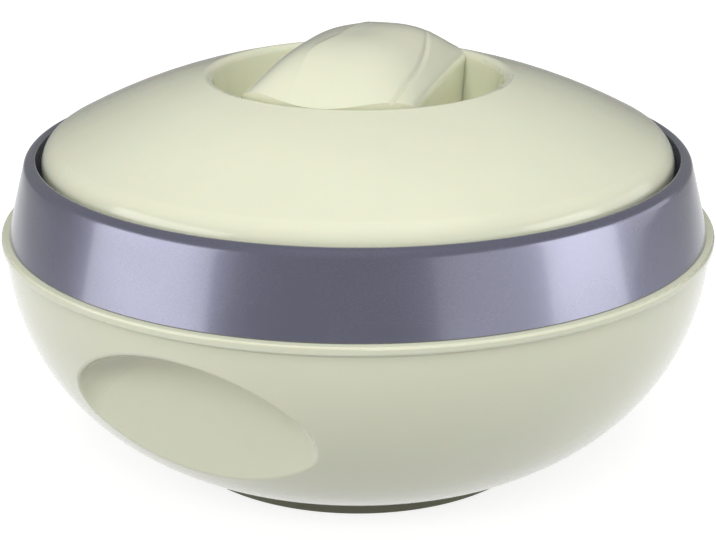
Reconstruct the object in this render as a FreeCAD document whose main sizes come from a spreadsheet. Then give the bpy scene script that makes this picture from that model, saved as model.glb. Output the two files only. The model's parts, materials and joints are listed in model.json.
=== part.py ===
import FreeCAD, Part
import Sketcher
import math
import os

# Insulated casserole for flat breads, with a lift-off lid.
# Frame: +Z up, origin on the table at the centre of the foot, front toward -Y. Millimetres.

SIZES = {
    # outer bowl, heights measured from the table
    "lip_radius": 130.0,
    "lip_height": 88.0,
    "lip_thickness": 3.0,
    "lip_step": 1.5,
    "lip_shelf_width": 8.0,
    "shell_wall": 2.5,
    "belly_drop": 4.0,
    "belly_upper_share": 1.0352,
    "belly_lower_share": 1.4523,
    "belly_turn": 58.4,
    "base_height": 4.4,
    "edge_round": 0.8,
    # hand scoops in the outer bowl, with heights as shares of the belly's
    "scoop_angle": -28.0,
    "scoop_half_width": 48.5,
    "scoop_tall_share": 0.4435,
    "scoop_rise_share": 0.4648,
    "scoop_depth": 23.0,
    "scoop_floor_radius": 400.0,
    "scoop_floor_round": 9.0,
    "scoop_edge_round": 1.2,
    # foot ring and the plug of the foam hole
    "foot_setback": 0.2,
    "foot_width": 10.0,
    "foot_round": 1.2,
    "rib_width": 2.0,
    "rib_depth": 2.4,
    "port_radius": 9.0,
    "cap_radius": 15.0,
    "cap_thickness": 1.6,
    "snap_height": 1.2,
    "snap_bite": 0.6,
    # metallic band, measured from the lip
    "band_setback": 2.8,
    "band_lean": 6.5,
    "band_height": 24.5,
    "band_round": 4.0,
    "band_crown_step": 3.3,
    "band_crown_rise": 3.2,
    "band_rim_width": 4.4,
    "band_wall": 1.6,
    "band_foot_chamfer": 0.4,
    # ring that clamps the food bowl's flange and seats the lid
    "seat_setback": 0.3,
    "ring_wall": 2.0,
    "ring_rise": 1.0,
    "ring_flange_gap": 1.2,
    "ledge_rise": 13.5,
    "ledge_thickness": 1.8,
    "ledge_width": 11.6,
    "tongue_play": 0.2,
    "tongue_depth": 8.0,
    "hook_bite": 0.9,
    # steel food bowl and its seal
    "steel": 0.8,
    "bowl_floor_rise": 19.6,
    "bowl_corner_radius": 46.0,
    "bowl_draft": 8.0,
    "bowl_flange_setback": 5.6,
    "bowl_flange_width": 8.5,
    "bowl_seal_thickness": 2.5,
    "bowl_seal_width": 5.0,
    # lid cover, measured from the band and the ledge
    "lid_gap": 1.9,
    "lid_wall": 2.2,
    "lid_skirt_gap": 0.5,
    "lid_bead_slope": 0.4,
    "lid_edge_round": 10.0,
    "lid_edge_rise": 10.75,
    "dome_rise": 36.35,
    "crest_radius": 55.3,
    "crest_round": 3.0,
    "recess_draft": 15.0,
    "recess_depth": 30.6,
    "recess_round": 8.0,
    # lid liner, its seal and its plug
    "liner_wall": 1.8,
    "liner_dip": 6.0,
    "liner_gap": 4.5,
    "liner_dish_flare": 3.0,
    "liner_flange_rise": 2.0,
    "liner_play": 0.2,
    "liner_bead": 0.7,
    "seal_setback": 2.5,
    "seal_width": 4.0,
    "seal_bead_width": 1.8,
    "seal_bead_height": 1.0,
    "lid_rest_gap": 0.3,
    "plug_radius": 6.0,
    "plug_flange_radius": 10.0,
    "plug_flange_thickness": 1.2,
    # grip across the recess
    "grip_turn": 15.0,
    "grip_half_width": 31.0,
    "grip_end_gap": 3.3,
    "grip_edge_drop": 7.6,
    "grip_rise": 16.0,
    "grip_skew": 0.2,
    "grip_fullness": 3.0,
    "grip_wall": 2.5,
    "grip_play": 0.15,
    "grip_edge_round": 2.0,
    "groove_inset": 4.9,
    "groove_radius": 190.0,
    "groove_shift": 18.0,
    "groove_width": 1.2,
    "groove_depth": 0.7,
    # screws that hold the grip
    "boss_offset": 24.0,
    "boss_radius": 4.5,
    "screw_radius": 1.5,
    "screw_hole_radius": 1.9,
    "screw_head_radius": 3.4,
    "screw_head_height": 2.2,
    "screw_length": 15.0,
    # how far a cutting shape reaches past what it cuts
    "reach": 12.0,
}

doc = FreeCAD.newDocument("casserole")
sheet = doc.addObject("Spreadsheet::Sheet", "Sizes")


class Size:
    """A length or an angle: its value, and the sheet expression that gives it."""

    def __init__(self, value, text):
        self.value = value
        self.text = text

    def __add__(self, other):
        other = as_size(other)
        return Size(self.value + other.value, f"({self.text} + {other.text})")

    def __sub__(self, other):
        other = as_size(other)
        return Size(self.value - other.value, f"({self.text} - {other.text})")

    def __mul__(self, other):
        other = as_size(other)
        return Size(self.value * other.value, f"({self.text} * {other.text})")

    def __truediv__(self, other):
        other = as_size(other)
        return Size(self.value / other.value, f"({self.text} / {other.text})")

    def __neg__(self):
        return Size(-self.value, f"(0 - {self.text})")


def as_size(number):
    return number if isinstance(number, Size) else Size(float(number), str(number))


def root(size):
    return Size(math.sqrt(size.value), f"sqrt({size.text})")


def cosine(angle):
    return Size(math.cos(math.radians(angle.value)), f"cos({angle.text} * 1 deg)")


def sine(angle):
    return Size(math.sin(math.radians(angle.value)), f"sin({angle.text} * 1 deg)")


def fill_sheet():
    """Write each driving size into a cell of its own and return the named sizes."""
    named = {}
    for row, (alias, number) in enumerate(SIZES.items(), start=1):
        sheet.set(f"A{row}", alias)
        sheet.set(f"B{row}", str(number))
        sheet.setAlias(f"B{row}", alias)
        named[alias] = Size(number, f"Sizes.{alias}")
    doc.recompute()
    return named


S = fill_sheet()


# Places that follow from the driving sizes

S["belly_height"] = S["lip_height"] - S["belly_drop"]
S["belly_rise"] = S["belly_height"] - S["base_height"]
S["belly_upper_radius"] = S["belly_rise"] * S["belly_upper_share"]
S["belly_lower_radius"] = S["belly_rise"] * S["belly_lower_share"]
S["scoop_height"] = S["base_height"] + S["belly_rise"] * S["scoop_rise_share"]
S["scoop_half_height"] = S["belly_rise"] * S["scoop_tall_share"]
S["scoop_floor_distance"] = S["lip_radius"] - S["scoop_depth"]
S["band_foot_radius"] = S["lip_radius"] - S["band_setback"]
S["band_shoulder_radius"] = S["band_foot_radius"] - S["band_lean"]
S["band_crown_radius"] = S["band_shoulder_radius"] - S["band_crown_step"]
S["band_inner_radius"] = S["band_shoulder_radius"] - S["band_rim_width"]
S["band_shoulder_height"] = S["lip_height"] + S["band_height"]
S["band_top"] = S["band_shoulder_height"] + S["band_crown_rise"]
S["seat_radius"] = S["band_inner_radius"] + S["seat_setback"]
S["ring_flange_radius"] = S["band_foot_radius"] - S["band_wall"] - S["ring_flange_gap"]
S["ring_top"] = S["band_shoulder_height"] + S["ring_rise"]
S["ledge_height"] = S["lip_height"] + S["ledge_rise"]
S["ledge_radius"] = S["seat_radius"] - S["ledge_width"]
S["bowl_floor"] = S["base_height"] + S["bowl_floor_rise"]
S["bowl_flange_radius"] = S["seat_radius"] - S["bowl_flange_setback"]
S["bowl_mouth_radius"] = S["bowl_flange_radius"] - S["bowl_flange_width"]
S["lid_radius"] = S["band_inner_radius"] - S["lid_gap"]
S["lid_skirt_bottom"] = S["ledge_height"] + S["lid_skirt_gap"]
S["dome_apex"] = S["ledge_height"] + S["lid_edge_rise"] + S["dome_rise"]
S["recess_floor"] = S["dome_apex"] - S["recess_depth"]
S["liner_bottom"] = S["ledge_height"] - S["liner_dip"]
S["liner_dish_radius"] = S["bowl_mouth_radius"] - S["liner_gap"]
S["liner_flange_height"] = S["ledge_height"] + S["liner_flange_rise"]
S["seal_radius"] = S["ledge_radius"] + S["seal_setback"]
S["grip_half_length"] = S["crest_radius"] - S["grip_end_gap"]
S["grip_edge_height"] = S["dome_apex"] - S["grip_edge_drop"]


def dome_sphere_radius():
    """Radius of the dome that reaches the apex and meets the rounded edge at its height."""
    edge = S["lid_edge_round"]
    out = S["lid_radius"] - edge
    rise = S["dome_rise"]
    return (out * out + rise * rise - edge * edge) / ((rise - edge) * 2)


S["dome_radius"] = dome_sphere_radius()


# Sketches and features

class Bend:
    """A round stretch of an outline: its radius, and whether its centre lies to the left."""

    def __init__(self, radius, left):
        self.radius = as_size(radius)
        self.left = left


def bend_left(radius):
    return Bend(radius, True)


def bend_right(radius):
    return Bend(radius, False)


def new_body(name):
    body = doc.addObject("PartDesign::Body", name)
    body.Label = name
    return body


def new_sketch(body, role, lift=None):
    """An empty sketch on one of the body's own planes, lifted along its normal."""
    sketch = body.newObject("Sketcher::SketchObject", f"{body.Name}_outline")
    plane = next(item for item in body.Origin.OriginFeatures if item.Role == role)
    sketch.AttachmentSupport = [(plane, "")]
    sketch.MapMode = "FlatFace"
    if lift is not None:
        sketch.setExpression(".AttachmentOffset.Base.z", lift.text)
    return sketch


def bind(sketch, constraint, size):
    index = sketch.addConstraint(constraint)
    sketch.setExpression(f"Constraints[{index}]", size.text)


def pin_corner(sketch, element, point, corner):
    """Hold a corner at coordinates that come from the sheet, or on an axis where one is 0."""
    for axis, kind, size in ((-2, "DistanceX", corner[0]), (-1, "DistanceY", corner[1])):
        if isinstance(size, Size):
            bind(sketch, Sketcher.Constraint(kind, -1, 1, element, point, size.value), size)
        else:
            sketch.addConstraint(Sketcher.Constraint("PointOnObject", element, point, axis))


def add_segment(sketch, start, end, bend):
    """Add a line or the shorter arc. Returns its index and the point numbers of its ends."""
    if bend is None:
        return sketch.addGeometry(Part.LineSegment(start, end), False), 1, 2
    chord = end - start
    height = math.sqrt(max(bend.radius.value ** 2 - (chord.Length / 2) ** 2, 0))
    normal = FreeCAD.Vector(-chord.y, chord.x, 0).normalize()
    centre = (start + end) * 0.5 + normal * (height if bend.left else -height)
    circle = Part.Circle(centre, FreeCAD.Vector(0, 0, 1), bend.radius.value)
    first = math.atan2(start.y - centre.y, start.x - centre.x)
    last = math.atan2(end.y - centre.y, end.x - centre.x)
    if bend.left:
        return sketch.addGeometry(Part.ArcOfCircle(circle, first, last), False), 1, 2
    return sketch.addGeometry(Part.ArcOfCircle(circle, last, first), False), 2, 1


def draw_loop(sketch, corners):
    """Draw a closed outline. A corner is (x, y), or (x, y, bend) when an arc leads to it."""
    points = [FreeCAD.Vector(as_size(c[0]).value, as_size(c[1]).value, 0) for c in corners]
    count = len(corners)
    ends = []
    for k in range(count):
        target = corners[(k + 1) % count]
        bend = target[2] if len(target) > 2 else None
        ends.append(add_segment(sketch, points[k], points[(k + 1) % count], bend))
        if bend is not None:
            bind(sketch, Sketcher.Constraint("Radius", ends[k][0], bend.radius.value), bend.radius)
    for k in range(count):
        element, first, last = ends[k]
        following, next_first, _ = ends[(k + 1) % count]
        sketch.addConstraint(Sketcher.Constraint("Coincident", element, last, following, next_first))
        pin_corner(sketch, element, first, corners[k])


def turned(name, corners):
    """A body made by turning an outline of (radius, height) corners about the vertical axis."""
    body = new_body(name)
    sketch = new_sketch(body, "XZ_Plane")
    draw_loop(sketch, corners)
    turn = body.newObject("PartDesign::Revolution", f"{name}_turn")
    turn.Profile = sketch
    turn.ReferenceAxis = (sketch, ["V_Axis"])
    turn.Angle = 360
    doc.recompute()
    return body


def ring_edges(shape, rings):
    """Names of the full circles of a turned shape that lie at the given (radius, height)."""
    names = []
    for number, edge in enumerate(shape.Edges, start=1):
        if not isinstance(edge.Curve, Part.Circle) or not edge.isClosed():
            continue
        for radius, height in rings:
            near = abs(edge.Curve.Radius - radius.value) < 0.01
            if near and abs(edge.Curve.Center.z - height.value) < 0.01:
                names.append(f"Edge{number}")
    return names


def dress(body, kind, size, rings):
    """Round or chamfer the named rings of a turned body."""
    base = body.Tip
    feature = body.newObject(f"PartDesign::{kind}", f"{body.Name}_{kind.lower()}")
    feature.Base = (base, ring_edges(base.Shape, rings))
    feature.setExpression("Radius" if kind == "Fillet" else "Size", size.text)
    doc.recompute()


def cut(name, base, *tools):
    result = doc.addObject("Part::Cut", name)
    result.Base = base
    result.Tool = tools[0] if len(tools) == 1 else fuse(f"{name}_tools", *tools)
    result.Label = name
    doc.recompute()
    return result


def fuse(name, *shapes):
    result = doc.addObject("Part::MultiFuse", name)
    result.Shapes = list(shapes)
    result.Label = name
    doc.recompute()
    return result


def common(name, *shapes):
    result = doc.addObject("Part::MultiCommon", name)
    result.Shapes = list(shapes)
    result.Label = name
    doc.recompute()
    return result


def cylinder(name, radius, bottom, top, x=None, y=None):
    """An upright cylinder between two heights, on the main axis or at (x, y)."""
    result = doc.addObject("Part::Cylinder", name)
    result.setExpression("Radius", radius.text)
    result.setExpression("Height", (top - bottom).text)
    result.setExpression(".Placement.Base.z", bottom.text)
    if x is not None:
        result.setExpression(".Placement.Base.x", x.text)
        result.setExpression(".Placement.Base.y", y.text)
    result.Label = name
    doc.recompute()
    return result


# Outer bowl: belly, lip and the shelf that carries the clamping ring

belly_radius = S["lip_radius"] - S["lip_step"]
lip_underside = S["lip_height"] - S["lip_thickness"]
shelf_radius = S["lip_radius"] - S["lip_shelf_width"]
inner_floor = S["base_height"] + S["shell_wall"]


def belly_corners(inset):
    """The belly from its base to its widest height, moved inward by an inset."""
    upper = S["belly_upper_radius"] - inset
    lower = S["belly_lower_radius"] - inset
    upper_x = belly_radius - S["belly_upper_radius"]
    step = S["belly_upper_radius"] - S["belly_lower_radius"]
    lower_x = upper_x + step * cosine(S["belly_turn"])
    lower_z = S["belly_height"] - step * sine(S["belly_turn"])
    base = S["base_height"] + inset
    drop = lower_z - base
    base_edge = lower_x + root(lower * lower - drop * drop)
    knee_x = upper_x + upper * cosine(S["belly_turn"])
    knee_z = S["belly_height"] - upper * sine(S["belly_turn"])
    return [
        (0, base),
        (base_edge, base),
        (knee_x, knee_z, bend_left(lower)),
        (belly_radius - inset, S["belly_height"], bend_left(upper)),
    ]


def make_shell_blank():
    """The filled outer form of the bowl."""
    body = turned("shell_blank", belly_corners(as_size(0)) + [
        (belly_radius, lip_underside),
        (S["lip_radius"], lip_underside),
        (S["lip_radius"], S["lip_height"]),
        (0, S["lip_height"]),
    ])
    edges = [
        (S["lip_radius"], S["lip_height"]),
        (S["lip_radius"], lip_underside),
    ]
    dress(body, "Fillet", S["edge_round"], edges)
    return body


def make_scoop(name, growth, turn):
    """The space of one hand scoop, grown all round by a wall: an upright oval with a curved end."""
    body = new_body(name)
    floor = S["scoop_floor_distance"] - growth
    oval = new_sketch(body, "XZ_Plane", floor)
    centre = FreeCAD.Vector(0, S["scoop_height"].value, 0)
    wide = S["scoop_half_width"] + growth
    tall = S["scoop_half_height"] + growth
    ellipse = Part.Ellipse(centre, wide.value, tall.value)
    element = oval.addGeometry(ellipse, False)
    oval.exposeInternalGeometry(element)
    oval.addConstraint(Sketcher.Constraint("PointOnObject", element, 3, -2))
    height = S["scoop_height"]
    bind(oval, Sketcher.Constraint("DistanceY", -1, 1, element, 3, height.value), height)
    oval.addConstraint(Sketcher.Constraint("Horizontal", element + 1))
    bind(oval, Sketcher.Constraint("Distance", element + 1, (wide * 2).value), wide * 2)
    bind(oval, Sketcher.Constraint("Distance", element + 2, (tall * 2).value), tall * 2)
    column = body.newObject("PartDesign::Pad", f"{name}_column")
    column.Profile = oval
    column.setExpression("Length", (S["lip_radius"] + S["reach"] - floor).text)
    doc.recompute()

    curve = S["scoop_floor_radius"] + growth
    side = wide + S["reach"]
    end_y = root(curve * curve - side * side) - floor - curve
    shaping = new_sketch(body, "XY_Plane")
    draw_loop(shaping, [
        (-side, S["reach"] - floor),
        (-side, end_y),
        (side, end_y, bend_right(curve)),
        (side, S["reach"] - floor),
    ])
    pocket = body.newObject("PartDesign::Pocket", f"{name}_floor")
    pocket.Profile = shaping
    pocket.Reversed = True
    pocket.setExpression("Length", (S["scoop_height"] + tall + S["reach"]).text)
    doc.recompute()

    floor_edges = []
    for face in pocket.Shape.Faces:
        if isinstance(face.Surface, Part.Cylinder) and abs(face.Surface.Radius - curve.value) < 0.01:
            floor_edges += face.Edges
    names = []
    for number, edge in enumerate(pocket.Shape.Edges, start=1):
        if any(edge.isSame(other) for other in floor_edges):
            names.append(f"Edge{number}")
    rounding = body.newObject("PartDesign::Fillet", f"{name}_round")
    rounding.Base = (pocket, names)
    rounding.setExpression("Radius", (S["scoop_floor_round"] + growth).text)
    angle = S["scoop_angle"].value + turn
    body.Placement = FreeCAD.Placement(
        FreeCAD.Vector(0, 0, 0), FreeCAD.Rotation(FreeCAD.Vector(0, 0, 1), angle))
    doc.recompute()
    return body


def round_scoop_rims(solid):
    """Round the edges where the scoops come out through the belly."""
    edges = []
    for number, edge in enumerate(solid.Shape.Edges, start=1):
        kinds = [type(face.Surface) for face in solid.Shape.ancestorsOfType(edge, Part.Face)]
        if isinstance(edge.Curve, Part.BSplineCurve) and Part.SurfaceOfRevolution in kinds:
            edges.append((number, S["scoop_edge_round"].value, S["scoop_edge_round"].value))
    result = doc.addObject("Part::Fillet", "shell_form")
    result.Base = solid
    result.Edges = edges
    result.Label = "shell_form"
    doc.recompute()
    return result


def make_rib():
    """The ring rib under the base that the foot ring is pressed onto."""
    inner = S["rib_radius"] - S["rib_width"] / 2
    outer = S["rib_radius"] + S["rib_width"] / 2
    return turned("shell_rib", [
        (inner, S["base_height"] - S["rib_depth"]),
        (outer, S["base_height"] - S["rib_depth"]),
        (outer, inner_floor),
        (inner, inner_floor),
    ])


S["foot_radius"] = belly_corners(as_size(0))[1][0] - S["foot_setback"]
S["rib_radius"] = S["foot_radius"] - S["foot_width"] / 2
shell_blank = make_shell_blank()
shell_room = turned("shell_room", belly_corners(S["shell_wall"]) + [
    (shelf_radius, S["belly_height"]),
    (shelf_radius, S["lip_height"]),
    (0, S["lip_height"]),
])
scoops = [make_scoop("scoop_front", as_size(0), 0), make_scoop("scoop_back", as_size(0), 180)]
backs = [
    make_scoop("scoop_front_back", S["shell_wall"], 0),
    make_scoop("scoop_back_back", S["shell_wall"], 180),
]
foam_room = cut("foam_room", shell_room, *backs)
shell_port = cylinder(
    "shell_port", S["port_radius"], S["base_height"] - S["reach"], inner_floor + S["reach"])
shell_form = round_scoop_rims(cut("shell_scooped", shell_blank, *scoops))
outer_shell = fuse("outer_shell", cut("shell_hollow", shell_form, foam_room, shell_port), make_rib())


# Foot ring and the plug of the foam hole

def make_foot_ring():
    inner = S["foot_radius"] - S["foot_width"]
    groove_in = S["rib_radius"] - S["rib_width"] / 2
    groove_out = S["rib_radius"] + S["rib_width"] / 2
    groove_top = S["base_height"] - S["rib_depth"]
    body = turned("foot_ring", [
        (inner, 0),
        (S["foot_radius"], 0),
        (S["foot_radius"], S["base_height"]),
        (groove_out, S["base_height"]),
        (groove_out, groove_top),
        (groove_in, groove_top),
        (groove_in, S["base_height"]),
        (inner, S["base_height"]),
    ])
    dress(body, "Fillet", S["foot_round"], [(S["foot_radius"], as_size(0)), (inner, as_size(0))])
    return body


def snap_plug(name, stem, flange, thickness, seat, wall):
    """A turned plug: flange against a wall, stem through it, snap bead behind it."""
    snap = seat + wall
    return turned(name, [
        (0, seat - thickness),
        (flange, seat - thickness),
        (flange, seat),
        (stem, seat),
        (stem, snap),
        (stem + S["snap_bite"], snap),
        (stem, snap + S["snap_height"]),
        (0, snap + S["snap_height"]),
    ])


foot_ring = make_foot_ring()
base_cap = snap_plug(
    "base_cap", S["port_radius"], S["cap_radius"], S["cap_thickness"], S["base_height"], S["shell_wall"])


# Steel food bowl

ledge_underside = S["ledge_height"] - S["ledge_thickness"]


def bowl_corners(growth):
    """The bowl's wall from the middle of its floor to its mouth, grown outward."""
    corner = S["bowl_corner_radius"]
    turn_height = S["bowl_floor"] + corner
    lean_start = turn_height - corner * sine(S["bowl_draft"])
    lean = (ledge_underside - lean_start) * sine(S["bowl_draft"]) / cosine(S["bowl_draft"])
    flat = S["bowl_mouth_radius"] - lean - corner * cosine(S["bowl_draft"])
    grown = corner + growth
    wall_end = turn_height - grown * sine(S["bowl_draft"])
    mouth = S["bowl_mouth_radius"] + growth / cosine(S["bowl_draft"])
    return [
        (0, S["bowl_floor"] - growth),
        (flat, S["bowl_floor"] - growth),
        (flat + grown * cosine(S["bowl_draft"]), wall_end, bend_left(grown)),
        (mouth, ledge_underside),
    ]


def make_inner_bowl():
    outside = bowl_corners(S["steel"])
    inside = bowl_corners(as_size(0))
    flange_under = ledge_underside - S["steel"]
    slope = sine(S["bowl_draft"]) / cosine(S["bowl_draft"])
    corner_x = outside[3][0] - S["steel"] * slope
    return turned("inner_bowl", outside[:3] + [
        (corner_x, flange_under),
        (S["bowl_flange_radius"], flange_under),
        (S["bowl_flange_radius"], ledge_underside),
        inside[3],
        (inside[2][0], inside[2][1]),
        (inside[1][0], inside[1][1], bend_right(S["bowl_corner_radius"])),
        (0, S["bowl_floor"]),
    ])


inner_bowl = make_inner_bowl()
bowl_seal_top = ledge_underside - S["steel"]
bowl_seal_bottom = bowl_seal_top - S["bowl_seal_thickness"]
bowl_seal_radius = S["bowl_flange_radius"] - S["bowl_seal_width"]
bowl_seal = turned("bowl_seal", [
    (bowl_seal_radius, bowl_seal_bottom),
    (S["bowl_flange_radius"], bowl_seal_bottom),
    (S["bowl_flange_radius"], bowl_seal_top),
    (bowl_seal_radius, bowl_seal_top),
])


# Clamping ring: shelf flange, snap tongue, lid wall and the ledge over the bowl's flange

def make_rim_ring():
    tongue = shelf_radius - S["tongue_play"]
    tongue_inner = tongue - S["ring_wall"]
    tongue_end = S["lip_height"] - S["tongue_depth"]
    hook_top = S["belly_height"] - S["tongue_play"]
    hook_bottom = hook_top - S["snap_height"]
    wall_outer = S["seat_radius"] + S["ring_wall"]
    flange_top = S["lip_height"] + S["ring_wall"]
    return turned("rim_ring", [
        (S["ledge_radius"], ledge_underside),
        (S["seat_radius"], ledge_underside),
        (S["seat_radius"], S["lip_height"]),
        (tongue_inner, S["lip_height"]),
        (tongue_inner, tongue_end),
        (tongue, tongue_end),
        (tongue + S["hook_bite"], hook_bottom),
        (tongue + S["hook_bite"], hook_top),
        (tongue, hook_top),
        (tongue, S["lip_height"]),
        (S["ring_flange_radius"], S["lip_height"]),
        (S["ring_flange_radius"], flange_top),
        (wall_outer, flange_top),
        (wall_outer, S["ring_top"]),
        (S["seat_radius"], S["ring_top"]),
        (S["seat_radius"], S["ledge_height"]),
        (S["ledge_radius"], S["ledge_height"]),
    ])


def make_metallic_band():
    wall = S["band_wall"]
    body = turned("metallic_band", [
        (S["band_foot_radius"] - wall, S["lip_height"]),
        (S["band_foot_radius"], S["lip_height"]),
        (S["band_shoulder_radius"], S["band_shoulder_height"]),
        (S["band_crown_radius"], S["band_top"], bend_left(S["band_round"])),
        (S["band_inner_radius"], S["band_top"] - S["edge_round"]),
        (S["band_inner_radius"], S["ring_top"]),
        (S["band_shoulder_radius"] - wall, S["ring_top"]),
        (S["band_shoulder_radius"] - wall, S["ring_top"] - wall),
    ])
    dress(body, "Chamfer", S["band_foot_chamfer"], [(S["band_foot_radius"], S["lip_height"])])
    return body


rim_ring = make_rim_ring()
metallic_band = make_metallic_band()


# Foam between shell and bowl

foam_collar = turned("foam_collar", [
    (0, S["lip_height"]),
    (S["seat_radius"], S["lip_height"]),
    (S["seat_radius"], bowl_seal_bottom),
    (0, bowl_seal_bottom),
])
bowl_block = turned("bowl_block", bowl_corners(S["steel"]) + [(0, ledge_underside)])
body_foam = cut(
    "body_foam", fuse("foam_blank", foam_room, foam_collar), bowl_block, rim_ring, base_cap)


# Lid cover: dome, rounded edge, crest and recess

dome_centre = S["dome_apex"] - S["dome_radius"]


def dome_corners(inset):
    """From the lid's edge over the dome and down into the recess, moved inward by a wall."""
    edge = S["lid_edge_round"] - inset
    edge_x = S["lid_radius"] - S["lid_edge_round"]
    edge_arm = S["dome_radius"] - S["lid_edge_round"]
    edge_z = dome_centre + root(edge_arm * edge_arm - edge_x * edge_x)
    dome = S["dome_radius"] - inset
    share = dome / edge_arm
    crest = S["crest_round"] - inset
    crest_arm = S["dome_radius"] - S["crest_round"]
    crest_z = dome_centre + root(crest_arm * crest_arm - S["crest_radius"] * S["crest_radius"])
    crest_share = dome / crest_arm
    wall_x = S["crest_radius"] - crest * cosine(S["recess_draft"])
    wall_z = crest_z + crest * sine(S["recess_draft"])
    slope = sine(S["recess_draft"]) / cosine(S["recess_draft"])
    foot_z = S["recess_floor"] + S["recess_round"]
    bend = S["recess_round"] + inset
    wall_foot_z = foot_z - bend * sine(S["recess_draft"])
    wall_foot_x = wall_x - (wall_z - wall_foot_z) * slope
    floor_x = wall_foot_x - bend * cosine(S["recess_draft"])
    return [
        (S["lid_radius"] - inset, edge_z),
        (edge_x * share, dome_centre + (edge_z - dome_centre) * share, bend_left(edge)),
        (S["crest_radius"] * crest_share, dome_centre + (crest_z - dome_centre) * crest_share,
            bend_left(dome)),
        (wall_x, wall_z, bend_left(crest)),
        (wall_foot_x, wall_foot_z),
        (floor_x, S["recess_floor"] - inset, bend_right(bend)),
        (0, S["recess_floor"] - inset),
    ]


liner_top = S["liner_bottom"] + S["liner_wall"]
skirt_inner = S["lid_radius"] - S["lid_wall"]
lid_blank = turned("lid_blank", [
    (0, S["lid_skirt_bottom"]),
    (S["lid_radius"], S["lid_skirt_bottom"]),
] + dome_corners(as_size(0)))
dress(lid_blank, "Fillet", S["edge_round"], [(S["lid_radius"], S["lid_skirt_bottom"])])
lid_room = turned("lid_room", [
    (0, liner_top),
    (skirt_inner, liner_top),
] + dome_corners(S["lid_wall"]))


def grip_point(along, across):
    """Place on the grip's own axes, turned with the grip, as (x, y) sizes."""
    x = along * sine(S["grip_turn"]) + across * cosine(S["grip_turn"])
    y = along * cosine(S["grip_turn"]) - across * sine(S["grip_turn"])
    return x, y


def screw_places():
    return [grip_point(S["boss_offset"], as_size(0)), grip_point(-S["boss_offset"], as_size(0))]


lid_bead = turned("lid_bead", [
    (skirt_inner, S["lid_skirt_bottom"]),
    (skirt_inner, S["liner_flange_height"]),
    (skirt_inner - S["liner_bead"], S["liner_flange_height"] - S["lid_bead_slope"]),
])
screw_holes = [
    cylinder(f"screw_hole_{number}", S["screw_hole_radius"],
             S["recess_floor"] - S["reach"], S["recess_floor"] + S["reach"], x, y)
    for number, (x, y) in enumerate(screw_places(), start=1)
]
lid_hollow = cut("lid_hollow", lid_blank, lid_room, *screw_holes)
lid_cover = fuse("lid_cover", lid_hollow, lid_bead)


# Lid liner, its seal and its plug

dish_end = S["liner_dish_radius"] + S["liner_dish_flare"]
flange_top = S["liner_flange_height"] + S["liner_wall"]
liner_edge = skirt_inner - S["liner_play"]
bead_inner = S["seal_radius"] - S["seal_bead_width"] / 2
bead_outer = S["seal_radius"] + S["seal_bead_width"] / 2
bead_top = S["liner_flange_height"] + S["seal_bead_height"]
dish_inner = S["liner_dish_radius"] - S["liner_wall"]
lid_liner = turned("lid_liner", [
    (S["plug_radius"], S["liner_bottom"]),
    (S["liner_dish_radius"], S["liner_bottom"]),
    (dish_end, S["liner_flange_height"]),
    (bead_inner, S["liner_flange_height"]),
    (bead_inner, bead_top),
    (bead_outer, bead_top),
    (bead_outer, S["liner_flange_height"]),
    (liner_edge, S["liner_flange_height"]),
    (liner_edge, flange_top),
    (dish_inner + S["liner_dish_flare"], flange_top),
    (dish_inner, liner_top),
    (S["plug_radius"], liner_top),
])
seal_inner = S["seal_radius"] - S["seal_width"] / 2
seal_outer = S["seal_radius"] + S["seal_width"] / 2
seal_bottom = S["ledge_height"] + S["lid_rest_gap"]
lid_seal = turned("lid_seal", [
    (seal_inner, seal_bottom),
    (seal_outer, seal_bottom),
    (seal_outer, S["liner_flange_height"]),
    (bead_outer, S["liner_flange_height"]),
    (bead_outer, bead_top),
    (bead_inner, bead_top),
    (bead_inner, S["liner_flange_height"]),
    (seal_inner, S["liner_flange_height"]),
])
liner_plug = snap_plug(
    "liner_plug", S["plug_radius"], S["plug_flange_radius"], S["plug_flange_thickness"],
    S["liner_bottom"], S["liner_wall"])


# Grip: a pillow-shaped bridge with a skewed ridge, hollow underneath

GRIP_STEPS = 16


def grip_height(along, across, half_length, half_width, rounding):
    """Rise of the pillow over its edge, less the drop of its rounded sides."""
    u = along / half_length
    v = across / half_width
    ridge = S["grip_skew"].value * u
    v = (v - ridge) / (1 - ridge) if v > ridge else (v - ridge) / (1 + ridge)
    power = S["grip_fullness"].value
    rise = S["grip_rise"].value * (1 - abs(u) ** power) * (1 - abs(v) ** power)
    into_round = max(abs(across) - half_width + rounding, 0)
    return rise - rounding + math.sqrt(max(rounding ** 2 - into_round ** 2, 0))


def make_pillow(name, inset, lowering, rounding):
    """A block under the pillow surface, narrowed and lowered, down past the recess floor."""
    half_length = S["grip_half_length"].value
    half_width = S["grip_half_width"].value - inset.value
    edge_height = S["grip_edge_height"].value - lowering.value
    turn = math.radians(S["grip_turn"].value)
    rows = []
    for i in range(-GRIP_STEPS, GRIP_STEPS + 1):
        along = half_length * i / GRIP_STEPS
        row = []
        for j in range(-GRIP_STEPS, GRIP_STEPS + 1):
            across = half_width * math.sin(math.pi / 2 * j / GRIP_STEPS)
            rise = grip_height(along, across, half_length, half_width, rounding.value)
            row.append(FreeCAD.Vector(
                along * math.sin(turn) + across * math.cos(turn),
                along * math.cos(turn) - across * math.sin(turn),
                edge_height + rise))
        rows.append(row)
    surface = Part.BSplineSurface()
    surface.interpolate(rows)
    depth = S["grip_edge_height"].value - S["recess_floor"].value + S["reach"].value
    result = doc.addObject("Part::Feature", name)
    result.Shape = surface.toShape().extrude(FreeCAD.Vector(0, 0, -depth))
    result.Label = name
    return result


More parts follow.
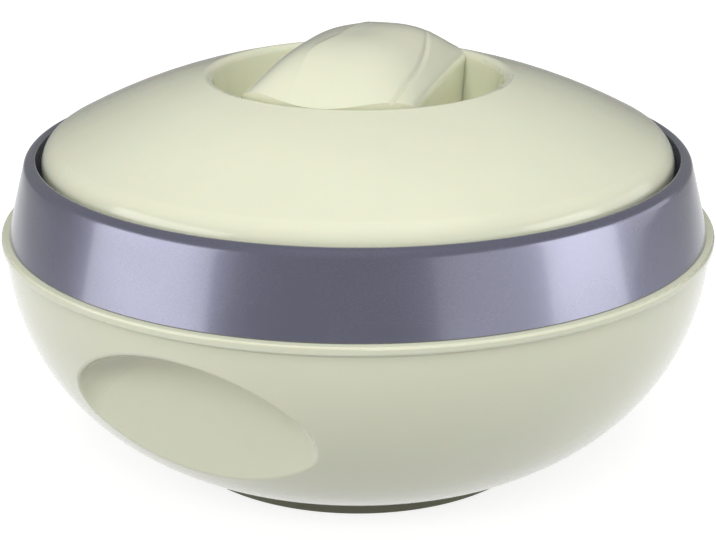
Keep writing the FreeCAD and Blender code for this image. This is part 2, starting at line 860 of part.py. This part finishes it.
def make_recess_air(name, gap, rounded_floor):
    """The space inside the recess, drawn in from its wall by a gap, and the air above it."""
    wall, wall_foot, floor = dome_corners(-gap)[3:6]
    crest_arm = S["dome_radius"] - S["crest_round"]
    crest_z = dome_centre + root(crest_arm * crest_arm - S["crest_radius"] * S["crest_radius"])
    crest_top = crest_z + S["crest_round"] + gap
    top = S["grip_edge_height"] + S["grip_rise"] + S["reach"]
    if rounded_floor:
        foot = [
            (0, floor[1]),
            (floor[0], floor[1]),
            (wall_foot[0], wall_foot[1], bend_left(floor[2].radius)),
        ]
    else:
        foot = [
            (0, S["recess_floor"]),
            (floor[0], S["recess_floor"]),
            (wall_foot[0], wall_foot[1]),
        ]
    return turned(name, foot + [
        (wall[0], wall[1]),
        (S["crest_radius"], crest_top, bend_right(S["crest_round"] + gap)),
        (S["crest_radius"], top),
        (0, top),
    ])


def make_groove_strip():
    """An upright strip that follows the groove's arc across the grip."""
    body = new_body("groove_strip")
    sketch = new_sketch(body, "XY_Plane")
    middle = S["grip_half_width"] - S["groove_inset"]
    centre_x = middle - S["groove_radius"]
    inner = S["groove_radius"] - S["groove_width"] / 2
    outer = S["groove_radius"] + S["groove_width"] / 2
    half = S["grip_half_length"] + S["groove_shift"] + S["reach"]
    inner_x = centre_x + root(inner * inner - half * half)
    outer_x = centre_x + root(outer * outer - half * half)
    low = -S["groove_shift"] - half
    high = half - S["groove_shift"]
    draw_loop(sketch, [
        (outer_x, low),
        (outer_x, high, bend_left(outer)),
        (inner_x, high),
        (inner_x, low, bend_right(inner)),
    ])
    strip = body.newObject("PartDesign::Pad", "groove_strip_pad")
    strip.Profile = sketch
    strip.setExpression("Length", (S["grip_edge_height"] + S["grip_rise"] + S["reach"]).text)
    body.Placement = FreeCAD.Placement(
        FreeCAD.Vector(0, 0, 0),
        FreeCAD.Rotation(FreeCAD.Vector(0, 0, 1), -S["grip_turn"].value))
    doc.recompute()
    return body


no_inset = as_size(0)
grip_blank = common(
    "grip_blank",
    make_pillow("grip_pillow", no_inset, no_inset, S["grip_edge_round"]),
    make_recess_air("grip_bounds", S["grip_play"], True))
grip_core = common(
    "grip_core",
    make_pillow("core_pillow", S["grip_wall"], S["grip_wall"], no_inset),
    make_recess_air("core_bounds", S["grip_play"] + S["grip_wall"], False))
grip_top = S["grip_edge_height"] + S["grip_rise"]
boss_bottom = S["recess_floor"] + S["grip_play"]
boss_posts = [
    cylinder(f"boss_post_{number}", S["boss_radius"], boss_bottom, grip_top, x, y)
    for number, (x, y) in enumerate(screw_places(), start=1)
]
bosses = common("grip_bosses", fuse("boss_posts", *boss_posts), grip_blank)
grip_shell = fuse("grip_shell", cut("grip_hollow", grip_blank, grip_core), bosses)
screw_tip = S["recess_floor"] - S["lid_wall"] + S["screw_length"]
pilot_holes = [
    cylinder(f"pilot_hole_{number}", S["screw_radius"], boss_bottom, screw_tip, x, y)
    for number, (x, y) in enumerate(screw_places(), start=1)
]
groove_floor = make_pillow("groove_floor", no_inset, S["groove_depth"], S["grip_edge_round"])
groove_cutter = cut("groove_cutter", make_groove_strip(), groove_floor)
lid_handle = cut("lid_handle", grip_shell, groove_cutter, *pilot_holes)


# Screws of the grip and the lid's foam

def make_screw(number, x, y):
    """A pan-head screw, standing on its head under the recess floor."""
    seat = S["recess_floor"] - S["lid_wall"]
    name = f"screw_{number}"
    head = cylinder(f"{name}_head", S["screw_head_radius"], seat - S["screw_head_height"], seat, x, y)
    shank = cylinder(f"{name}_shank", S["screw_radius"], seat, screw_tip, x, y)
    return fuse(name, head, shank)


screws = [make_screw(number, x, y) for number, (x, y) in enumerate(screw_places(), start=1)]
handle_screws = doc.addObject("Part::Compound", "handle_screws")
handle_screws.Links = screws
handle_screws.Label = "handle_screws"
liner_block = turned("liner_block", [
    (0, liner_top),
    (dish_inner, liner_top),
    (dish_inner + S["liner_dish_flare"], flange_top),
    (skirt_inner, flange_top),
    (skirt_inner, liner_top - S["reach"]),
    (0, liner_top - S["reach"]),
])
lid_foam = cut("lid_foam", lid_room, liner_block, liner_plug, *screws)


# Check every object, then write each piece

PIECES = [
    outer_shell, foot_ring, base_cap, body_foam, inner_bowl, bowl_seal, rim_ring, metallic_band,
    lid_cover, lid_handle, handle_screws, lid_foam, lid_liner, lid_seal, liner_plug,
]

doc.recompute()
for item in doc.Objects:
    if "Invalid" in item.State or "Error" in item.State:
        raise RuntimeError(f"{item.Name} failed: {item.State}")
for piece in PIECES:
    if piece.Shape.isNull() or not piece.Shape.isValid() or not piece.Shape.Solids:
        raise RuntimeError(f"{piece.Label} has no valid solid")

os.makedirs("parts", exist_ok=True)
for piece in PIECES:
    piece.Shape.exportStep(f"parts/{piece.Label}.step")
    print(piece.Label, len(piece.Shape.Solids), round(piece.Shape.Volume))
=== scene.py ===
import json
import math

import bpy
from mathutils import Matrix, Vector


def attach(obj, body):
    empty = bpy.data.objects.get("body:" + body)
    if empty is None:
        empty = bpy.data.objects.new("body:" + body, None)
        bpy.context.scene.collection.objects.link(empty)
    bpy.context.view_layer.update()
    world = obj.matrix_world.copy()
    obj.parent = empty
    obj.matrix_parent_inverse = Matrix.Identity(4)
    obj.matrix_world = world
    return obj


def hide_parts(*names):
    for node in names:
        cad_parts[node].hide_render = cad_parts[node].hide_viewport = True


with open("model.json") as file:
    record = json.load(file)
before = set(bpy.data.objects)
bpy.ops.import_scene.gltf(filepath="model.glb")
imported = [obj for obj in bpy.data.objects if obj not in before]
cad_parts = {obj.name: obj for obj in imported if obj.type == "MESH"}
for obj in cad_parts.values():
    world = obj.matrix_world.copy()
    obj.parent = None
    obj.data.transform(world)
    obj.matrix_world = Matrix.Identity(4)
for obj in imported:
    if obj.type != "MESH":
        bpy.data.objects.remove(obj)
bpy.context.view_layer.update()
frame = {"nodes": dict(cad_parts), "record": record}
nodes = frame["nodes"]
scene = bpy.context.scene
scene.view_settings.view_transform = "Standard"


# Camera: fitted to the lip, the band, the lid and the foot ring in the photograph

CAMERA_PLACE = (0.0, -0.595, 0.281)
CAMERA_PITCH = 19.88
CAMERA_LENS = 84.6

camera_data = bpy.data.cameras.new("camera")
camera_data.sensor_width = 36.0
camera_data.lens = CAMERA_LENS
camera = bpy.data.objects.new("camera", camera_data)
camera.location = CAMERA_PLACE
camera.rotation_euler = (math.radians(90.0 - CAMERA_PITCH), 0.0, 0.0)
scene.collection.objects.link(camera)
scene.camera = camera


# Materials. Scales are pattern cells for each metre, depths are in metres.

CLOUD_SCALE = 14.0
RUB_SCALE = 260.0
PEEL_SCALE = 420.0
PEEL_DEPTH = 0.00002
FLAKE_SCALE = 5200.0
FLAKE_DEPTH = 0.000008
WANDER_SCALE = 30.0
TURNING_SCALE = 5200.0
TURNING_DEPTH = 0.00001
TONE_SCALE = 60.0
GRAIN_DEPTH = 0.00004
FOAM_SCALE = 900.0
FOAM_DEPTH = 0.0003


class Graph:
    """A material's node tree, with short calls for the nodes used here."""

    def __init__(self, name):
        self.material = bpy.data.materials.new(name)
        self.material.use_nodes = True
        self.tree = self.material.node_tree
        self.shader = self.tree.nodes["Principled BSDF"]

    def node(self, kind, **values):
        made = self.tree.nodes.new(kind)
        for key, value in values.items():
            if key in made.inputs:
                made.inputs[key].default_value = value
            else:
                setattr(made, key, value)
        return made

    def link(self, source, target):
        self.tree.links.new(source, target)

    def set(self, **values):
        for key, value in values.items():
            self.shader.inputs[key.replace("_", " ")].default_value = value

    def place(self, scale=(1.0, 1.0, 1.0)):
        """Coordinates on the object itself, in metres, stretched by a scale."""
        coordinates = self.node("ShaderNodeTexCoord")
        mapping = self.node("ShaderNodeMapping")
        mapping.inputs["Scale"].default_value = scale
        self.link(coordinates.outputs["Object"], mapping.inputs["Vector"])
        return mapping.outputs["Vector"]

    def noise(self, vector, scale, detail=3.0, roughness=0.5):
        made = self.node("ShaderNodeTexNoise")
        made.inputs["Scale"].default_value = scale
        made.inputs["Detail"].default_value = detail
        made.inputs["Roughness"].default_value = roughness
        self.link(vector, made.inputs["Vector"])
        return made.outputs["Fac"]

    def ramp(self, source, stops):
        made = self.node("ShaderNodeValToRGB")
        elements = made.color_ramp.elements
        while len(elements) < len(stops):
            elements.new(0.5)
        for element, (position, colour) in zip(elements, stops):
            element.position = position
            element.color = (*colour, 1.0)
        self.link(source, made.inputs["Fac"])
        return made.outputs["Color"]

    def spread(self, source, low, high):
        """Map a 0 to 1 pattern to a range."""
        made = self.node("ShaderNodeMapRange", interpolation_type="SMOOTHSTEP")
        made.inputs["From Min"].default_value = 0.3
        made.inputs["From Max"].default_value = 0.7
        made.inputs["To Min"].default_value = low
        made.inputs["To Max"].default_value = high
        self.link(source, made.inputs["Value"])
        return made.outputs["Result"]

    def bump(self, source, distance, strength=1.0, after=None):
        made = self.node("ShaderNodeBump")
        made.inputs["Strength"].default_value = strength
        made.inputs["Distance"].default_value = distance
        self.link(source, made.inputs["Height"])
        if after is not None:
            self.link(after, made.inputs["Normal"])
        return made.outputs["Normal"]


def linear(red, green, blue):
    """A display colour in 0 to 255, as the linear colour that renders as it."""
    channels = [value / 255.0 for value in (red, green, blue)]
    return tuple(c / 12.92 if c <= 0.04045 else ((c + 0.055) / 1.055) ** 2.4 for c in channels)


def glossy_plastic(name, colour, roughness, coat):
    """Moulded plastic: faint flow clouds, orange peel, and fine rub marks in the gloss."""
    graph = Graph(name)
    here = graph.place()
    pale = tuple(min(c * 1.03, 1.0) for c in colour)
    deep = tuple(c * 0.97 for c in colour)
    clouds = graph.noise(here, CLOUD_SCALE, 4.0, 0.55)
    graph.link(graph.ramp(clouds, [(0.3, deep), (0.7, pale)]), graph.shader.inputs["Base Color"])
    rubs = graph.noise(graph.place((1.0, 1.0, 6.0)), RUB_SCALE, 6.0, 0.7)
    gloss = graph.spread(rubs, roughness * 0.8, roughness * 1.25)
    graph.link(gloss, graph.shader.inputs["Roughness"])
    peel = graph.noise(here, PEEL_SCALE, 2.0, 0.4)
    graph.link(graph.bump(peel, PEEL_DEPTH, 0.35), graph.shader.inputs["Normal"])
    graph.set(IOR=1.49, Coat_Weight=coat, Coat_Roughness=0.06,
              Subsurface_Weight=0.12, Subsurface_Scale=0.004)
    return graph.material


def pearl_metallic(name, colour):
    """A pearl metallic coating: flakes that differ in tone under a smooth clear coat."""
    graph = Graph(name)
    here = graph.place()
    flakes = graph.noise(here, FLAKE_SCALE, 2.0, 0.5)
    deep = tuple(c * 0.82 for c in colour)
    pale = tuple(min(c * 1.2, 1.0) for c in colour)
    graph.link(graph.ramp(flakes, [(0.3, deep), (0.7, pale)]), graph.shader.inputs["Base Color"])
    wander = graph.noise(here, WANDER_SCALE, 3.0, 0.5)
    graph.link(graph.spread(wander, 0.24, 0.3), graph.shader.inputs["Roughness"])
    graph.link(graph.bump(flakes, FLAKE_DEPTH, 0.12), graph.shader.inputs["Normal"])
    graph.set(Metallic=0.75, Coat_Weight=1.0, Coat_Roughness=0.1, IOR=1.5)
    return graph.material


def turned_steel(name):
    """Stainless steel with fine turning lines round the axis."""
    graph = Graph(name)
    lines = graph.noise(graph.place((0.02, 0.02, 1.0)), TURNING_SCALE, 4.0, 0.6)
    graph.link(graph.ramp(lines, [(0.3, (0.56, 0.56, 0.57)), (0.7, (0.68, 0.68, 0.69))]),
               graph.shader.inputs["Base Color"])
    graph.link(graph.spread(lines, 0.2, 0.34), graph.shader.inputs["Roughness"])
    graph.link(graph.bump(lines, TURNING_DEPTH, 0.4), graph.shader.inputs["Normal"])
    graph.set(Metallic=1.0)
    return graph.material


def soft_rubber(name, colour, roughness, grain):
    """Matt soft plastic or silicone, with a slow change of tone and a fine grain."""
    graph = Graph(name)
    here = graph.place()
    tone = graph.noise(here, TONE_SCALE, 4.0, 0.6)
    deep = tuple(c * 0.85 for c in colour)
    pale = tuple(min(c * 1.12, 1.0) for c in colour)
    graph.link(graph.ramp(tone, [(0.3, deep), (0.7, pale)]), graph.shader.inputs["Base Color"])
    graph.link(graph.spread(tone, roughness * 0.9, roughness * 1.1), graph.shader.inputs["Roughness"])
    fine = graph.noise(here, grain, 3.0, 0.6)
    graph.link(graph.bump(fine, GRAIN_DEPTH, 0.5), graph.shader.inputs["Normal"])
    return graph.material


def rigid_foam(name):
    """Pale rigid foam with small closed cells."""
    graph = Graph(name)
    cells = graph.tree.nodes.new("ShaderNodeTexVoronoi")
    cells.inputs["Scale"].default_value = FOAM_SCALE
    graph.link(graph.place(), cells.inputs["Vector"])
    tones = graph.ramp(cells.outputs["Distance"], [(0.0, (0.55, 0.46, 0.22)), (0.6, (0.78, 0.7, 0.42))])
    graph.link(tones, graph.shader.inputs["Base Color"])
    graph.link(graph.bump(cells.outputs["Distance"], FOAM_DEPTH, 0.6), graph.shader.inputs["Normal"])
    graph.set(Roughness=0.9)
    return graph.material


CREAM = linear(225, 227, 202)
LINER = linear(226, 226, 216)
RING = linear(118, 120, 136)
PEARL = linear(140, 141, 162)
# Painted shade: the foot ring's dark olive is the tone of its shaded face under the belly, given to it
# as its own colour.
FOOT_PAINTED_SHADE = linear(122, 123, 104)
SILICONE = linear(226, 226, 220)

FINISHES = {
    "shell_plastic": glossy_plastic("shell_plastic", CREAM, 0.16, 0.6),
    "liner_plastic": glossy_plastic("liner_plastic", LINER, 0.28, 0.0),
    "ring_plastic": glossy_plastic("ring_plastic", RING, 0.3, 0.0),
    "band_metallic": pearl_metallic("band_metallic", PEARL),
    "steel": turned_steel("steel"),
    "foot_rubber": soft_rubber("foot_rubber", FOOT_PAINTED_SHADE, 0.55, 1800.0),
    "seal_rubber": soft_rubber("seal_rubber", SILICONE, 0.5, 1500.0),
    "foam": rigid_foam("foam"),
}

for part in frame["record"]["subparts"]:
    piece = nodes[part["node"]]
    piece.data.materials.clear()
    piece.data.materials.append(FINISHES[part["material_slot"]])


# Pieces made finer than their solids. Their sizes are in millimetres, as in the CAD model.

MM = 0.001
SHARP_EDGE = 38.0


def new_piece(name, points, faces, body, slot, *replaced):
    """A smooth mesh piece, in millimetres, that rides on a body and stands for CAD nodes."""
    mesh = bpy.data.meshes.new(name)
    mesh.from_pydata([tuple(c * MM for c in point) for point in points], [], faces)
    mesh.validate()
    mesh.shade_smooth()
    mesh.set_sharp_from_angle(angle=math.radians(SHARP_EDGE))
    mesh.materials.append(FINISHES[slot])
    piece = bpy.data.objects.new(name, mesh)
    scene.collection.objects.link(piece)
    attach(piece, body)
    if replaced:
        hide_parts(*replaced)
    return piece


def turned_piece(name, profile, segments, body, slot, *replaced):
    """A closed outline of (radius, height) turned about the vertical axis."""
    points = []
    for k in range(segments):
        angle = 2.0 * math.pi * k / segments
        points += [(r * math.cos(angle), r * math.sin(angle), z) for r, z in profile]
    count = len(profile)
    faces = []
    for k in range(segments):
        here, there = k * count, (k + 1) % segments * count
        for i in range(count):
            j = (i + 1) % count
            faces.append((here + i, there + i, there + j, here + j))
    return new_piece(name, points, faces, body, slot, *replaced)


def arc(centre, radius, start, end, steps):
    """Points of an arc, angles in degrees, both ends included."""
    angles = [math.radians(start + (end - start) * k / steps) for k in range(steps + 1)]
    return [(centre[0] + radius * math.cos(a), centre[1] + radius * math.sin(a)) for a in angles]


LIP_TOP = 88.0
BAND_FOOT_RADIUS = 127.2
BAND_FOOT_HEIGHT = 88.4
BAND_SHOULDER_RADIUS = 120.7
BAND_SHOULDER_HEIGHT = 112.5
BAND_ROLL = 4.0
BAND_ROLL_END = 84.0
BAND_SOLE = [(126.0, LIP_TOP), (126.8, LIP_TOP)]
BAND_INSIDE = [(116.6, 115.2), (116.3, 114.8), (116.3, 113.6), (119.1, 113.6), (119.1, 110.9)]
BAND_FACE_STEPS = 6
BAND_ROLL_STEPS = 8
BAND_SEGMENTS = 256


def band_profile():
    """The band's section: foot, leaning face, rolled rim and the inside."""
    inward = BAND_FOOT_RADIUS - BAND_SHOULDER_RADIUS
    rise = BAND_SHOULDER_HEIGHT - BAND_FOOT_HEIGHT
    lean = math.atan2(inward, BAND_SHOULDER_HEIGHT - LIP_TOP)
    middle = (BAND_SHOULDER_RADIUS - BAND_ROLL * math.cos(lean),
              BAND_SHOULDER_HEIGHT - BAND_ROLL * math.sin(lean))
    shares = [k / BAND_FACE_STEPS for k in range(BAND_FACE_STEPS + 1)]
    face = [(BAND_FOOT_RADIUS - inward * t, BAND_FOOT_HEIGHT + rise * t) for t in shares]
    roll = arc(middle, BAND_ROLL, math.degrees(lean), BAND_ROLL_END, BAND_ROLL_STEPS)[1:]
    return BAND_SOLE + face + roll + BAND_INSIDE


LIP_ROUND = 0.8
LIP_ROUND_MIDDLE = (129.17, 85.77)
LIP_INSIDE = [(129.97, 86.4), (128.9, 86.4), (127.8, 86.0)]
LIP_ROUND_STEPS = 10
LIP_SEGMENTS = 512


def lip_profile():
    """The lower round of the lip, with its underside, run into the shell."""
    underside = (LIP_INSIDE[-1][0], LIP_ROUND_MIDDLE[1] - LIP_ROUND)
    return [underside] + arc(LIP_ROUND_MIDDLE, LIP_ROUND, -90.0, 0.0, LIP_ROUND_STEPS) + LIP_INSIDE


turned_piece("band_shell", band_profile(), BAND_SEGMENTS, "base", "band_metallic", "metallic_band")
turned_piece("lip_round", lip_profile(), LIP_SEGMENTS, "base", "shell_plastic")


# Grip: the pillow of the CAD model with its fold and its groove, down to the recess floor

GRIP_TURN = math.radians(15.0)
GRIP_HALF_WIDTH = 31.0
GRIP_HALF_LENGTH = 52.0
GRIP_EDGE = 141.0
GRIP_RISE = 15.98
GRIP_ROUND = 2.0
GRIP_SKEW = 0.2
GRIP_FULLNESS = 3
GRIP_FOOT = 118.2
GRIP_PLAY = 0.2
GRIP_ROWS = 150
GRIP_COLUMNS = 250
GRIP_LEVELS = 14

RECESS_DRAFT = math.radians(15.0)
RECESS_MOUTH = 52.4
RECESS_MOUTH_HEIGHT = 142.0
RECESS_ROUND = 8.0
RECESS_ROUND_HEIGHT = 126.0

FOLD_START = 5.0
FOLD_RUN = 24.0
FOLD_PLACE = -4.7
FOLD_SHIFT = 5.6
FOLD_SLANT = 0.1
FOLD_DEPTH = 1.1
FOLD_WIDTH = 4.0

GROOVE_PLACE = 25.5
GROOVE_BEND = 190.0
GROOVE_MIDDLE = 22.0
GROOVE_DEPTH = 0.95
GROOVE_WIDTH = 0.7
GROOVE_END = 30.0
GROOVE_FADE = 20.0
BEAD_HEIGHT = 0.12
BEAD_GAP = 1.5


def recess_radius(z):
    """Radius of the recess wall at a height."""
    foot = RECESS_ROUND_HEIGHT - RECESS_ROUND * math.sin(RECESS_DRAFT)
    top = RECESS_MOUTH - (RECESS_MOUTH_HEIGHT - foot) * math.tan(RECESS_DRAFT)
    if z >= foot:
        return top + (z - foot) * math.tan(RECESS_DRAFT)
    inner = top - RECESS_ROUND * math.cos(RECESS_DRAFT)
    return inner + math.sqrt(max(RECESS_ROUND ** 2 - (RECESS_ROUND_HEIGHT - z) ** 2, 0.0))


def fold_line(along):
    """Where the fold runs, across the grip, from its back to its front end."""
    t = min(max((-along - FOLD_START) / FOLD_RUN, 0.0), 1.0)
    return FOLD_PLACE - FOLD_SHIFT * t * t * (3.0 - 2.0 * t) + FOLD_SLANT * max(along, 0.0)


def groove_line(along):
    """Where the groove runs, across the grip, on a wide arc."""
    return GROOVE_PLACE - GROOVE_BEND + math.sqrt(GROOVE_BEND ** 2 - (along + GROOVE_MIDDLE) ** 2)


def bell(distance, width):
    return math.exp(-(distance / width) ** 2)


def grip_top(along, across):
    """Height of the grip's upper surface."""
    u = along / GRIP_HALF_LENGTH
    v = across / GRIP_HALF_WIDTH
    ridge = GRIP_SKEW * u
    v = (v - ridge) / (1 - ridge) if v > ridge else (v - ridge) / (1 + ridge)
    fall_across = 1 - min(abs(v), 1.0) ** GRIP_FULLNESS
    height = GRIP_RISE * (1 - min(abs(u), 1.0) ** GRIP_FULLNESS) * fall_across
    into_round = max(abs(across) - GRIP_HALF_WIDTH + GRIP_ROUND, 0.0)
    height += math.sqrt(max(GRIP_ROUND ** 2 - into_round ** 2, 0.0)) - GRIP_ROUND
    beyond = fold_line(along) - across
    if beyond > 0.0:
        height -= FOLD_DEPTH * (1.0 - math.exp(-beyond / FOLD_WIDTH)) * (1.0 - abs(u) ** 4)
    groove = across - groove_line(along)
    shallow = min(max((GROOVE_END - along) / GROOVE_FADE, 0.0), 1.0)
    height -= GROOVE_DEPTH * shallow * bell(groove, GROOVE_WIDTH)
    height += BEAD_HEIGHT * bell(groove - BEAD_GAP, GROOVE_WIDTH) * fall_across
    return GRIP_EDGE + height


def make_grip():
    """The grip's upper surface, its sides down to the recess floor, and its underside."""
    rows, columns, levels = GRIP_ROWS, GRIP_COLUMNS, GRIP_LEVELS
    points, faces = [], []

    def place(along, across, z):
        points.append((along * math.sin(GRIP_TURN) + across * math.cos(GRIP_TURN),
                       along * math.cos(GRIP_TURN) - across * math.sin(GRIP_TURN), z))
        return len(points) - 1

    def reach(across, z):
        radius = min(recess_radius(z) - GRIP_PLAY, GRIP_HALF_LENGTH)
        return math.sqrt(max(radius ** 2 - across ** 2, 1.0))

    def column_place(j):
        return GRIP_HALF_WIDTH * math.sin(math.pi / 2 * (2.0 * j / columns - 1.0))

    top = []
    for i in range(rows + 1):
        share = 2.0 * i / rows - 1.0
        row = []
        for j in range(columns + 1):
            across = column_place(j)
            along = share * reach(across, GRIP_EDGE)
            row.append(place(along, across, grip_top(along, across)))
        top.append(row)
    for i in range(rows):
        for j in range(columns):
            faces.append((top[i][j], top[i][j + 1], top[i + 1][j + 1], top[i + 1][j]))
    rim = [(0, j) for j in range(columns)] + [(i, columns) for i in range(rows)]
    rim += [(rows, j) for j in range(columns, 0, -1)] + [(i, 0) for i in range(rows, 0, -1)]
    above = [top[i][j] for i, j in rim]
    for level in range(1, levels + 1):
        below = []
        for i, j in rim:
            start = points[top[i][j]][2]
            z = start + (GRIP_FOOT - start) * level / levels
            across = column_place(j)
            below.append(place((2.0 * i / rows - 1.0) * reach(across, z), across, z))
        for k in range(len(rim)):
            n = (k + 1) % len(rim)
            faces.append((above[n], above[k], below[k], below[n]))
        above = below
    faces.append(tuple(reversed(above)))
    new_piece("grip_bridge", points, faces, "lid", "shell_plastic", "lid_handle")


make_grip()


# Floor and lights

GLOW_NEAR, GLOW_FAR = 0.25, 0.7
HORIZON_NEAR, HORIZON_FAR = 0.3, 1.2
FLOOR_HALF = 4.0


def stage_material(name, colour, glow_seen, glow_near, glow_far):
    """A pale matt surface that also glows a little for the camera and for reflections."""
    graph = Graph(name)
    paths = graph.node("ShaderNodeLightPath")
    direct = graph.node("ShaderNodeMath", operation="MAXIMUM")
    graph.link(paths.outputs["Is Camera Ray"], direct.inputs[0])
    graph.link(paths.outputs["Is Transmission Ray"], direct.inputs[1])
    seen = graph.node("ShaderNodeMath", operation="MULTIPLY")
    graph.link(direct.outputs[0], seen.inputs[0])
    away = graph.node("ShaderNodeVectorMath", operation="LENGTH")
    graph.link(graph.place(), away.inputs[0])
    horizon = graph.node("ShaderNodeMapRange")
    horizon.inputs["From Min"].default_value = HORIZON_NEAR
    horizon.inputs["From Max"].default_value = HORIZON_FAR
    horizon.inputs["To Min"].default_value = glow_seen
    horizon.inputs["To Max"].default_value = 1.0
    graph.link(away.outputs["Value"], horizon.inputs["Value"])
    graph.link(horizon.outputs["Result"], seen.inputs[1])
    fade = graph.node("ShaderNodeMapRange")
    fade.inputs["From Min"].default_value = GLOW_NEAR
    fade.inputs["From Max"].default_value = GLOW_FAR
    fade.inputs["To Min"].default_value = glow_near
    fade.inputs["To Max"].default_value = glow_far
    graph.link(away.outputs["Value"], fade.inputs["Value"])
    strength = graph.node("ShaderNodeMath", operation="MULTIPLY_ADD")
    graph.link(fade.outputs["Result"], strength.inputs[1])
    graph.link(paths.outputs["Is Glossy Ray"], strength.inputs[0])
    graph.link(seen.outputs[0], strength.inputs[2])
    graph.set(Base_Color=(*colour, 1.0), Roughness=0.8, Emission_Color=(1.0, 1.0, 1.0, 1.0))
    graph.link(strength.outputs[0], graph.shader.inputs["Emission Strength"])
    return graph.material


def add_floor():
    """A wide flat floor. Beyond it the white world goes on, so every side has the same ground."""
    half = FLOOR_HALF
    corners = [(-half, -half, 0.0), (half, -half, 0.0), (half, half, 0.0), (-half, half, 0.0)]
    mesh = bpy.data.meshes.new("floor")
    mesh.from_pydata(corners, [], [(0, 1, 2, 3)])
    floor = bpy.data.objects.new("floor", mesh)
    mesh.materials.append(stage_material("floor_white", (0.4, 0.4, 0.4), 0.8, 0.75, 0.1))
    scene.collection.objects.link(floor)


def add_lamp(name, azimuth, elevation, distance, size, power, seen=True):
    """An area lamp aimed at the object. Azimuth 0 is the front, positive to the right."""
    data = bpy.data.lights.new(name, "AREA")
    data.shape = "RECTANGLE"
    data.size, data.size_y = size
    data.energy = power
    lamp = bpy.data.objects.new(name, data)
    a, e = math.radians(azimuth), math.radians(elevation)
    aim = Vector((0.0, 0.0, 0.08))
    away = Vector((math.sin(a) * math.cos(e), -math.cos(a) * math.cos(e), math.sin(e)))
    lamp.location = aim + away * distance
    lamp.rotation_euler = away.to_track_quat("Z", "Y").to_euler()
    lamp.visible_glossy = seen
    lamp.visible_camera = False
    scene.collection.objects.link(lamp)


add_floor()
add_lamp("box_left", -67.0, 12.0, 1.2, (1.0, 0.6), 3.7)
add_lamp("box_right", 72.5, 12.0, 1.2, (0.62, 0.6), 1.9)
add_lamp("panel_right", 72.0, 12.0, 1.35, (3.0, 0.6), 4.0)
add_lamp("overhead", 0.0, 75.0, 1.4, (1.2, 1.2), 12.5, seen=False)
add_lamp("front_fill", -10.0, 36.0, 1.5, (1.2, 0.4), 6.0, seen=False)

world = bpy.data.worlds.new("world")
scene.world = world
world.use_nodes = True
tree = world.node_tree
background = tree.nodes["Background"]
paths = tree.nodes.new("ShaderNodeLightPath")
white = tree.nodes.new("ShaderNodeMix")
white.data_type = "RGBA"
white.inputs["A"].default_value = (0.22, 0.22, 0.22, 1.0)
white.inputs["B"].default_value = (1.0, 1.0, 1.0, 1.0)
tree.links.new(paths.outputs["Is Camera Ray"], white.inputs["Factor"])
tree.links.new(white.outputs["Result"], background.inputs["Color"])
